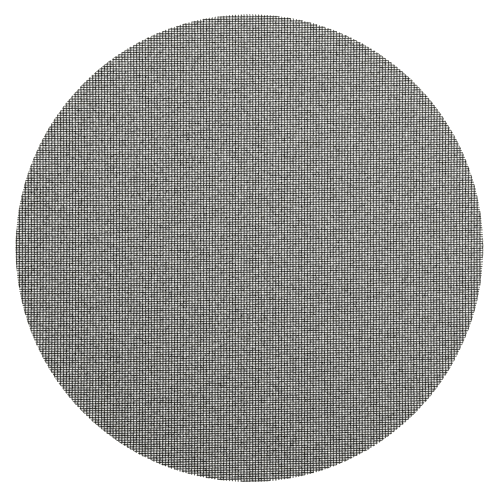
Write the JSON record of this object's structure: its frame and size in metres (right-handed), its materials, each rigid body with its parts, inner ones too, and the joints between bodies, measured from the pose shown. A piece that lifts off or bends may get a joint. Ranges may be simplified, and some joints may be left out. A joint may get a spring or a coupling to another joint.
{
  "type": "mesh sanding disc",
  "caption": "Flat round sanding disc of open grit-coated mesh, lying on its back face as it would on a sander's pad.",
  "frame": {"origin": "centre of the back face, on the surface that the disc lies on", "axes": "+Z out of the front face, X along the weft strands, Y along the warp strands"},
  "size_m": [0.225, 0.225, 0.001],
  "materials": {
    "grit_mesh": "dark grey silicon carbide grit in resin on leno-woven glass cloth, rough, with fine bright grains"
  },
  "bodies": {
    "root": {"mesh_disc": "grit_mesh"}
  },
  "joints": []
}
